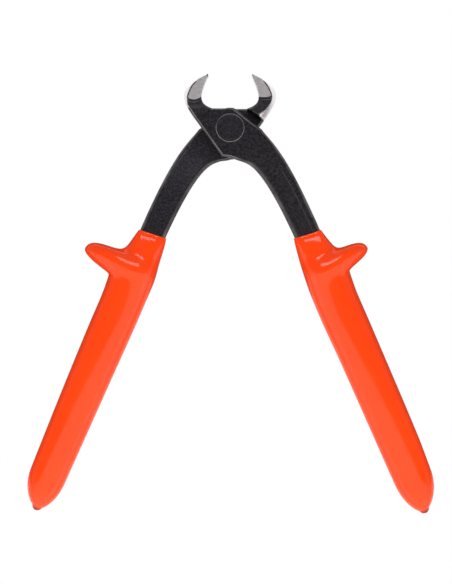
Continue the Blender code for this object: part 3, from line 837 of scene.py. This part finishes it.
def model_rivet(steel):
    """Rivet with a flat head in each cheek, its rim rounded."""
    seat = BOSS_FACE - RIVET_HEAD_THICKNESS + RIVET_GAP
    half = [(RIVET_SHANK_RADIUS, seat), (RIVET_RADIUS, seat), (RIVET_RADIUS, RIVET_TOP - RIVET_EDGE)]
    for turn in RIVET_EDGE_TURNS:
        reach = RIVET_RADIUS - RIVET_EDGE * (1 - cos(turn))
        half.append((reach, RIVET_TOP - RIVET_EDGE * (1 - sin(turn))))
    half.append((RIVET_RADIUS * RIVET_FACE_SHARE, RIVET_TOP))
    rings = [round_ring(radius, -z) for radius, z in reversed(half)]
    rings += [round_ring(radius, z) for radius, z in half]
    rivet = draw_rings("flush_rivet", rings)
    # Rim steps of the head made bright: wear and a painted highlight on the rounded rim
    worn_and_sheen_rings = {len(half) + step for step in RIVET_WORN_AND_SHEEN_STEPS}
    worn_and_sheen_rings |= {len(rings) - 1 - ring for ring in worn_and_sheen_rings}
    mark(rivet, "wear_and_sheen", lambda ring, place: float(ring in worn_and_sheen_rings))
    drop_numbers(rivet)
    rivet.data.materials.append(steel)
    smooth_faces(rivet, RIVET_SMOOTHING)
    place_half(rivet, "front")
    return rivet


# Dipped sleeve: sections of its outside and of the hollow round the tang


def station_slope(stations, at):
    before = stations[max(at - 1, 0)]
    after = stations[min(at + 1, len(stations) - 1)]
    return (after[1] - before[1]) / (after[0] - before[0])


def profile(stations, distance):
    """Smooth curve through (distance, size) stations."""
    i = 0
    while i < len(stations) - 2 and distance > stations[i + 1][0]:
        i += 1
    (start, low), (stop, high) = stations[i], stations[i + 1]
    run = stop - start
    pull_low = low + station_slope(stations, i) * run / 3
    pull_high = high - station_slope(stations, i + 1) * run / 3
    f = min(max((distance - start) / run, 0.0), 1.0)
    return bezier(low, pull_low, pull_high, high, f)


def sleeve_sizes(side, near, far):
    """Reach inward, reach outward and half thickness at the two sides' distances."""
    return profile(INWARD[side], near), profile(OUTWARD[side], far), profile(HALF_THICKNESS, near)


def rim_sizes(side, spare, depth_spare):
    """Sizes at the rim, with something added to its width and its thickness."""
    return INWARD[side][0][1] + spare, OUTWARD[side][0][1] + spare, HALF_THICKNESS[0][1] + depth_spare


def oval_ring(near_distance, far_distance, inward, outward, half, power, taper=0.0, thin=0.0, sag=0.0):
    """Oval section in millimetres; its thumb side may lie at another distance and be thinner."""
    ring = []
    for i in range(SLEEVE_POINTS):
        turn = pi - 2 * pi * (i + 0.5) / SLEEVE_POINTS
        x = copysign(abs(cos(turn)) ** (2 / power), cos(turn))
        z = copysign(abs(sin(turn)) ** (2 / power), sin(turn))
        reach = x * (outward if x > 0 else inward)
        out = max(x, 0.0)
        lean = mix((x + 1) / 2, smooth(reach, *HORN_LEAN), smooth(outward, *HORN_LEAN_REACH))
        distance = mix(near_distance, far_distance, lean) + sag * (1 - x * x)
        spot = grip_point(distance * MM, GRIP_OFFSET + reach * MM)
        ring.append((spot.x, spot.y, half * z * (1 - taper * out * out - thin * out) * MM))
    return ring


def collar_rings(side):
    """Rolled rim and the collar that swells from it to the guard."""
    sag = RIM_SAGS[side]
    rings = []
    for spare, depth_spare, drop in RIM_STEPS:
        sizes = rim_sizes(side, spare, depth_spare)
        rings.append(oval_ring(RIM_INNER + drop, RIM_OUTER + drop, *sizes, RIM_POWER, sag=sag))
    for step in range(1, COLLAR_STEPS + 1):
        f = step / COLLAR_STEPS
        near = mix(RIM_INNER + RIM_DROP, COLLAR_END, f)
        far = mix(RIM_OUTER + RIM_DROP, COLLAR_END, f)
        power = mix(RIM_POWER, COLLAR_POWER, f**COLLAR_POWER_FADE)
        rings.append(oval_ring(near, far, *sleeve_sizes(side, near, far), power, sag=sag * (1 - f)))
    return rings


def horn_ring(side, near, far, lobe, thin):
    inward, base, half = sleeve_sizes(side, near, far)
    reach = base + (HORN_REACHES[side] - base) * lobe
    power = mix(COLLAR_POWER, CREST_POWER, smooth(near, COLLAR_END, CREST))
    return oval_ring(near, far, inward, reach, half, power, HORN_TAPER * lobe, thin)


def horn_rings(side):
    """Thumb guard: a horn on the outer side and a low crest all round."""
    tip = HORN_TIPS[side]
    rings = []
    for number, lobe in enumerate(HORN_RISE_STEPS, 1):
        f = number / len(HORN_RISE_STEPS)
        fillet = RISE_FILLETS[side] * max(0.0, 1 - lobe / RISE_FILLET_END) ** 2
        far = tip - HORN_RISES[side] * sqrt(1 - lobe**HORN_RISE_POWER) - fillet
        rings.append(horn_ring(side, mix(COLLAR_END, CREST, f), far, lobe, HORN_RIDGE * (1 - f)))
    for number, drop in enumerate(HORN_FALL_STEPS, 1):
        f = number / len(HORN_FALL_STEPS)
        fall = 1 - drop**HORN_FALL_POWER
        lobe = (fall + sqrt(fall * fall + HORN_FILLET)) / 2
        far = tip + HORN_FALLS[side] * drop
        thin = HORN_RIDGE * smooth(drop, 0.0, 1.0) * lobe
        rings.append(horn_ring(side, mix(CREST, GRIP_START, f), far, lobe, thin))
    return rings


def handhold_rings(side):
    rings = []
    for distance in GRIP_STATIONS:
        sizes = sleeve_sizes(side, distance, distance)
        rings.append(oval_ring(distance, distance, *sizes, GRIP_POWER))
    return rings


def nose_rings(side):
    """Blunt point of the grip and the small drip at its end."""
    widths = INWARD[side][-1][1], OUTWARD[side][-1][1], HALF_THICKNESS[-1][1]
    length = NOSE_LENGTHS[side]
    rings = []
    for f in NOSE_STEPS:
        narrow = (1 - f**NOSE_WIDTH_POWER) ** NOSE_BLUNTNESS
        shallow = (1 - f**NOSE_DEPTH_POWER) ** NOSE_BLUNTNESS
        shares = narrow, narrow, shallow
        inward, outward, deep = (mix(DRIP_RADIUS, size, share) for size, share in zip(widths, shares))
        lean = DRIP_LEAN * f * f
        distance = NOSE_START + length * f
        power = mix(GRIP_POWER, DRIP_POWER, f)
        rings.append(oval_ring(distance, distance, inward + lean, outward - lean, deep, power))
    for f, share in DRIP_STEPS:
        distance = NOSE_START + length + DRIP_LENGTH * f
        radius = DRIP_RADIUS * share
        sizes = radius + DRIP_LEAN, radius - DRIP_LEAN, radius
        rings.append(oval_ring(distance, distance, *sizes, DRIP_POWER))
    return rings


def core_ring(side, f):
    """Hollow round the guard's core at a share of its rise (-1 to 0) or fall (0 to 1)."""
    lengths, power = (CORE_RISES, CORE_RISE_POWER) if f < 0 else (CORE_FALLS, CORE_FALL_POWER)
    lobe = 1 - abs(f) ** power
    crest = 1 - CORE_CREST_DROP * abs(f) ** CORE_CREST_POWER
    distance = (CORE_DISTANCES[side] + f * (lengths[side] - CORE_WALL)) / MM
    reach = CORE_BODY_REACH + CORE_REACHES[side] * lobe
    half = mix(*CORE_HALF_THICKNESSES, crest)
    sizes = [(size - CORE_WALL) / MM for size in (CORE_INNER_REACH, reach, half)]
    return oval_ring(distance, distance, *sizes, CORE_POWER, HORN_TAPER * lobe)


def coat_ring(distance):
    """Hollow round the first coat on the tang."""
    half, deep = (size / MM for size in tang_size(distance, COAT_HOLE))
    return oval_ring(distance / MM, distance / MM, half, half, deep, COAT_POWER)


def hollow_rings(side):
    """Inside of the sleeve: round the bare handle, the first coat and the guard's core."""
    start = CORE_DISTANCES[side] - CORE_RISES[side] + CORE_WALL
    stop = CORE_DISTANCES[side] + CORE_FALLS[side] - CORE_WALL
    rings = []
    for spare, depth_spare, drop in RIM_INSIDE_STEPS:
        sizes = rim_sizes(side, spare, depth_spare)
        rings.append(oval_ring(RIM_INNER + drop, RIM_OUTER + drop, *sizes, RIM_POWER))
    rings += [coat_ring(TANG_START), coat_ring(start)]
    rings += [core_ring(side, f) for f in CORE_STEPS]
    return rings + [coat_ring(stop), coat_ring(mix(stop, TANG_END, 0.5)), coat_ring(TANG_END + COAT_HOLE)]


def soften_guard(sleeve, skin_rings, height, passes):
    """Smooth the outer skin above a height where the guard grows out of the collar."""
    along, outward = grip_axes()
    bpy.ops.object.mode_set(mode="EDIT")
    bpy.ops.mesh.select_all(action="DESELECT")
    bm = bmesh.from_edit_mesh(sleeve.data)
    ring = bm.verts.layers.int["ring"]
    for vert in bm.verts:
        distance = vert.co.xy.dot(along)
        reach = vert.co.xy.dot(outward) - GRIP_OFFSET
        near_root = SOFT_START < distance < SOFT_END and SOFT_INNER < reach < SOFT_OUTER
        vert.select = near_root and abs(vert.co.z) >= height and vert[ring] < skin_rings
    bm.select_flush_mode()
    bmesh.update_edit_mesh(sleeve.data)
    bpy.ops.mesh.vertices_smooth(factor=SOFT_FACTOR, repeat=passes)
    bpy.ops.object.mode_set(mode="OBJECT")


def model_sleeve(side, vinyl):
    outside = collar_rings(side) + horn_rings(side) + handhold_rings(side) + nose_rings(side)
    sleeve = draw_rings(side + "_dipped_sleeve", outside[::-1] + hollow_rings(side))
    for height, passes in SOFT_PASSES:
        soften_guard(sleeve, len(outside), height, passes)
    mark(sleeve, "drip", lambda ring, place: smooth(ring, len(DRIP_STEPS), DRIP_DARK_RINGS))
    drop_numbers(sleeve)
    sleeve.data.materials.append(vinyl)
    choose(sleeve)
    modifier = sleeve.modifiers.new("smooth_skin", "SUBSURF")
    modifier.levels = 1
    modifier.render_levels = 1
    bpy.ops.object.modifier_apply(modifier=modifier.name)
    smooth_faces(sleeve, SLEEVE_SMOOTHING)
    place_half(sleeve, side)
    return sleeve


# Materials


def new_material(name):
    material = bpy.data.materials.new(name)
    material.use_nodes = True
    tree = material.node_tree
    return material, tree, tree.nodes["Principled BSDF"]


def add_node(tree, kind, **inputs):
    node = tree.nodes.new(kind)
    for name, value in inputs.items():
        node.inputs[name.replace("_", " ")].default_value = value
    return node


def grain_group():
    """Shared surface grain: a mottle and a speckle in the object's own metres."""
    tree = bpy.data.node_groups.new("surface_grain", "ShaderNodeTree")
    for name in GRAIN_DETAILS:
        tree.interface.new_socket(name + " Scale", in_out="INPUT", socket_type="NodeSocketFloat")
        tree.interface.new_socket(name, in_out="OUTPUT", socket_type="NodeSocketFloat")
    ins = tree.nodes.new("NodeGroupInput")
    outs = tree.nodes.new("NodeGroupOutput")
    where = tree.nodes.new("ShaderNodeTexCoord")
    for name, detail in GRAIN_DETAILS.items():
        noise = add_node(tree, "ShaderNodeTexNoise", Detail=detail, Roughness=GRAIN_ROUGHNESS)
        tree.links.new(where.outputs["Object"], noise.inputs["Vector"])
        tree.links.new(ins.outputs[name + " Scale"], noise.inputs["Scale"])
        tree.links.new(noise.outputs["Fac"], outs.inputs[name])
    return tree


def place_grain(tree, grain, mottle, speckle):
    node = tree.nodes.new("ShaderNodeGroup")
    node.node_tree = grain
    node.inputs["Mottle Scale"].default_value = mottle
    node.inputs["Speckle Scale"].default_value = speckle
    return node.outputs["Mottle"], node.outputs["Speckle"]


def grey(value):
    return (value, value, value, 1.0)


def ramp(tree, source, stops, colours):
    """Colour that runs from one to the other between two stops of a source."""
    node = tree.nodes.new("ShaderNodeValToRGB")
    for element, stop, colour in zip(node.color_ramp.elements, stops, colours):
        element.position = stop
        element.color = colour
    tree.links.new(source, node.inputs["Fac"])
    return node.outputs["Color"]


def roughen(tree, source, shader, roughness):
    """Roughness that follows the grain between two values."""
    rough = ramp(tree, source, GRAIN_STOPS, [grey(value) for value in roughness])
    tree.links.new(rough, shader.inputs["Roughness"])


def bump(tree, source, shader, strength, depth):
    node = add_node(tree, "ShaderNodeBump", Strength=strength, Distance=depth)
    tree.links.new(source, node.inputs["Height"])
    tree.links.new(node.outputs["Normal"], shader.inputs["Normal"])


def math_node(tree, operation, *sources):
    """Result of a sum on sockets and numbers."""
    node = tree.nodes.new("ShaderNodeMath")
    node.operation = operation
    for socket, source in zip(node.inputs, sources):
        if isinstance(source, float):
            socket.default_value = source
        else:
            tree.links.new(source, socket)
    return node.outputs["Value"]


def soft_step(tree, source, edge, values=(0.0, 1.0)):
    """Value that changes smoothly from one to the other across an edge of a source."""
    node = tree.nodes.new("ShaderNodeMapRange")
    node.interpolation_type = "SMOOTHSTEP"
    node.inputs["From Min"].default_value, node.inputs["From Max"].default_value = edge
    node.inputs["To Min"].default_value, node.inputs["To Max"].default_value = values
    tree.links.new(source, node.inputs["Value"])
    return node.outputs["Result"]


def marked(tree, name):
    """Number that was written on the points of a piece."""
    node = tree.nodes.new("ShaderNodeAttribute")
    node.attribute_name = name
    return node.outputs["Fac"]


def colour_mix(tree, kind):
    node = tree.nodes.new("ShaderNodeMix")
    node.data_type = "RGBA"
    node.blend_type = kind
    return node


def worn_and_sheen_paint(tree, mottle, paint):
    """Black paint with its edges rubbed to bare steel where the piece is marked; the bare steel is real
    wear and painted sheen together.
    """
    patchy = math_node(tree, "MULTIPLY", marked(tree, "wear_and_sheen"), mottle)
    # Bare steel from the mark: real wear and painted sheen together
    bare = soft_step(tree, patchy, WEAR_AND_SHEEN_EDGE)
    blend = colour_mix(tree, "ADD")
    blend.inputs["Factor"].default_value = 1.0
    tree.links.new(paint, blend.inputs["A"])
    tree.links.new(ramp(tree, bare, (0.0, 1.0), (grey(0.0), BARE_STEEL_AND_SHEEN)), blend.inputs["B"])
    return blend.outputs["Result"]


def painted_material(name, grain, scales, light, roughness, gloss, strength):
    """Black paint over forged steel."""
    material, tree, shader = new_material(name)
    mottle, speckle = place_grain(tree, grain, *scales)
    paint = ramp(tree, speckle, PAINT_STOPS, (PAINT_DARK, light))
    tree.links.new(worn_and_sheen_paint(tree, mottle, paint), shader.inputs["Base Color"])
    roughen(tree, speckle, shader, roughness)
    shader.inputs["Specular IOR Level"].default_value = gloss
    shader.inputs["Specular Tint"].default_value = PAINT_TINT
    bump(tree, speckle, shader, strength, PAINT_RELIEF)
    return material


def ground_steel_material():
    """Bright steel with the fine lines that the grinding leaves."""
    material, tree, shader = new_material("ground_steel")
    where = tree.nodes.new("ShaderNodeTexCoord")
    turn = add_node(tree, "ShaderNodeMapping", Rotation=(0, 0, GROUND_TURN), Scale=GROUND_LINES)
    tree.links.new(where.outputs["Object"], turn.inputs["Vector"])
    lines = add_node(tree, "ShaderNodeTexNoise", Scale=1.0, Detail=GROUND_LINE_DETAIL)
    tree.links.new(turn.outputs["Vector"], lines.inputs["Vector"])
    colour = ramp(tree, lines.outputs["Fac"], GRAIN_STOPS, GROUND_COLOURS)
    tree.links.new(colour, shader.inputs["Base Color"])
    roughen(tree, lines.outputs["Fac"], shader, GROUND_ROUGHNESS)
    shader.inputs["Metallic"].default_value = 1.0
    bump(tree, lines.outputs["Fac"], shader, GROUND_STRENGTH, GROUND_RELIEF)
    return material


def vinyl_material(name, grain, colours, roughness):
    """Dipped vinyl, darker where the piece is marked as a drip."""
    material, tree, shader = new_material(name)
    mottle, _ = place_grain(tree, grain, *VINYL_GRAIN)
    blend = colour_mix(tree, "MIX")
    blend.inputs["B"].default_value = DRIP_COLOUR
    tree.links.new(marked(tree, "drip"), blend.inputs["Factor"])
    tree.links.new(ramp(tree, mottle, GRAIN_STOPS, colours), blend.inputs["A"])
    tree.links.new(blend.outputs["Result"], shader.inputs["Base Color"])
    roughen(tree, mottle, shader, roughness)
    shader.inputs["Specular IOR Level"].default_value = VINYL_GLOSS
    bump(tree, mottle, shader, VINYL_STRENGTH, VINYL_RELIEF)
    return material


# Studio


def separate_axes(tree, coordinates):
    """X, Y and Z of one kind of texture coordinates."""
    where = tree.nodes.new("ShaderNodeTexCoord")
    axes = tree.nodes.new("ShaderNodeSeparateXYZ")
    tree.links.new(where.outputs[coordinates], axes.inputs["Vector"])
    return axes.outputs["X"], axes.outputs["Y"], axes.outputs["Z"]


def past_grips(tree, x, y):
    """Distance from the pivot across the grips, the same on both sides."""
    across = math_node(tree, "ABSOLUTE", x)
    across = math_node(tree, "MULTIPLY", across, cos(GRIP_ANGLE))
    return math_node(tree, "MULTIPLY_ADD", y, sin(GRIP_ANGLE), across)


def floor_zones(tree):
    """Shares of the floor that lie by the jaws and that carry painted shade beside the grips and between
    the collars.
    """
    x, y, _ = separate_axes(tree, "Object")
    by_jaws = soft_step(tree, y, FLOOR_GLOW_EDGE)
    across = past_grips(tree, x, y)
    outside = soft_step(tree, across, OUTER_SHADE_EDGE)
    above_nose = soft_step(tree, y, OUTER_SHADE_END)
    beside = math_node(tree, "MULTIPLY", outside, above_nose)
    between = soft_step(tree, across, INNER_SHADE_EDGE)
    for edge in (INNER_SHADE_START, INNER_SHADE_END):
        between = math_node(tree, "MULTIPLY", between, soft_step(tree, y, edge))
    painted_shade = math_node(tree, "MAXIMUM", beside, between)
    return by_jaws, math_node(tree, "SUBTRACT", painted_shade, by_jaws)


def floor_material():
    """Pale paper, plain white to the camera, that glows by the jaws in reflections; painted shade darkens
    it beside the grips and between the collars.
    """
    material, tree, shader = new_material("pale_floor")
    shader.inputs["Roughness"].default_value = FLOOR_ROUGHNESS
    by_jaws, painted_shade = floor_zones(tree)
    # Painted shade: the paper is darkened beside the grips and between the collars
    paper = ramp(tree, painted_shade, (0.0, 1.0), (grey(FLOOR_SHADE), grey(PAINTED_SHADE_TONE)))
    tree.links.new(paper, shader.inputs["Base Color"])
    ray = tree.nodes.new("ShaderNodeLightPath")
    to_camera = ray.outputs["Is Camera Ray"]
    glow = add_node(tree, "ShaderNodeEmission", Color=grey(1.0))
    power = math_node(tree, "MULTIPLY_ADD", to_camera, 1.0 - FLOOR_GLOW, FLOOR_GLOW)
    tree.links.new(power, glow.inputs["Strength"])
    mirrored = math_node(tree, "MULTIPLY", ray.outputs["Is Glossy Ray"], FLOOR_GLOW_SHARE)
    seen = math_node(tree, "MULTIPLY_ADD", mirrored, by_jaws, to_camera)
    blend = tree.nodes.new("ShaderNodeMixShader")
    tree.links.new(seen, blend.inputs["Fac"])
    tree.links.new(shader.outputs["BSDF"], blend.inputs[1])
    tree.links.new(glow.outputs["Emission"], blend.inputs[2])
    tree.links.new(blend.outputs["Shader"], tree.nodes["Material Output"].inputs["Surface"])
    return material


def add_floor():
    bpy.ops.object.select_all(action="DESELECT")
    bpy.ops.mesh.primitive_plane_add(size=FLOOR_SIZE, location=(0.0, 0.0, cad_box[0].z - FLOOR_DROP))
    floor = bpy.context.object
    floor.name = "floor"
    floor.data.materials.append(floor_material())


def add_camera():
    lens = bpy.data.cameras.new("photo_camera")
    lens.sensor_fit = "VERTICAL"
    lens.sensor_height = SENSOR_HEIGHT_MM
    lens.lens = SENSOR_HEIGHT_MM * CAMERA_HEIGHT / (PHOTO_HEIGHT_PX * PHOTO_SCALE)
    camera = bpy.data.objects.new("photo_camera", lens)
    camera.location = (*VIEW_CENTRE, LAP_HEIGHT + CAMERA_HEIGHT)
    bpy.context.scene.collection.objects.link(camera)
    bpy.context.scene.camera = camera


def add_lamp(name, place, aim, size, watts, mirrored=True, colour=(1.0, 1.0, 1.0)):
    lamp = bpy.data.lights.new(name, "AREA")
    lamp.shape = "RECTANGLE"
    lamp.size, lamp.size_y = size
    lamp.energy = watts
    lamp.color = colour
    box = bpy.data.objects.new(name, lamp)
    box.location = place
    box.rotation_euler = (Vector(aim) - Vector(place)).to_track_quat("-Z", "Y").to_euler()
    box.visible_camera = False
    box.visible_glossy = mirrored
    bpy.context.scene.collection.objects.link(box)


def add_tent():
    """Tent with bright walls and a dim roof."""
    world = bpy.data.worlds.new("studio")
    world.use_nodes = True
    tree = world.node_tree
    _, y, z = separate_axes(tree, "Generated")
    tent = add_node(tree, "ShaderNodeMix", B=ROOF_GLOW)
    tree.links.new(soft_step(tree, z, ROOF_EDGE), tent.inputs["Factor"])
    tree.links.new(soft_step(tree, y, WALL_EDGE, WALL_GLOW), tent.inputs["A"])
    tree.links.new(tent.outputs["Result"], tree.nodes["Background"].inputs["Strength"])
    tree.nodes["Background"].inputs["Color"].default_value = grey(1.0)
    bpy.context.scene.world = world


def light_studio():
    """Tent, softbox, small lamp and fill."""
    add_tent()
    middle = SOFTBOX_EDGE - SOFTBOX_SIZE[1] / 2
    place = (0.0, middle, SOFTBOX_HEIGHT)
    add_lamp("softbox", place, (0.0, middle, 0.0), SOFTBOX_SIZE, SOFTBOX_WATTS, colour=SOFTBOX_COLOUR)
    add_lamp("small_lamp", LAMP_PLACE, LAMP_AIM, LAMP_SIZE, LAMP_WATTS)
    add_lamp("fill", FILL_PLACE, LAMP_AIM, FILL_SIZE, FILL_WATTS, mirrored=False)
    bpy.context.scene.view_settings.view_transform = "Standard"


def fit(piece, body, node):
    """Let a piece ride on a body and stand for a CAD node, whose solid is hidden."""
    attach(piece, body)
    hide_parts(node)


def dress():
    """Model every piece and finish what stays of the solids."""
    grain = grain_group()
    black = painted_material("black_forged_steel", grain, **LEVER_PAINT)
    steel = painted_material("rivet_steel", grain, **RIVET_PAINT)
    ground = ground_steel_material()
    vinyl = vinyl_material("orange_dipped_vinyl", grain, VINYL_COLOURS, VINYL_ROUGHNESS)
    core = vinyl_material("guard_vinyl", grain, CORE_COLOURS, CORE_ROUGHNESS)
    coat = vinyl_material("pale_first_coat", grain, COAT_COLOURS, COAT_ROUGHNESS)
    for side in ("front", "back"):
        body = side + "_half"
        fit(model_lever(side, black, ground), body, side + "_lever")
        fit(model_sleeve(side, vinyl), body, side + "_outer_sleeve")
        for node, material in (("_inner_insulation", coat), ("_guard_core", core)):
            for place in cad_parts[side + node].material_slots:
                place.material = material
    fit(model_rivet(steel), "back_half", "pivot_rivet")


dress()
add_floor()
add_camera()
light_studio()
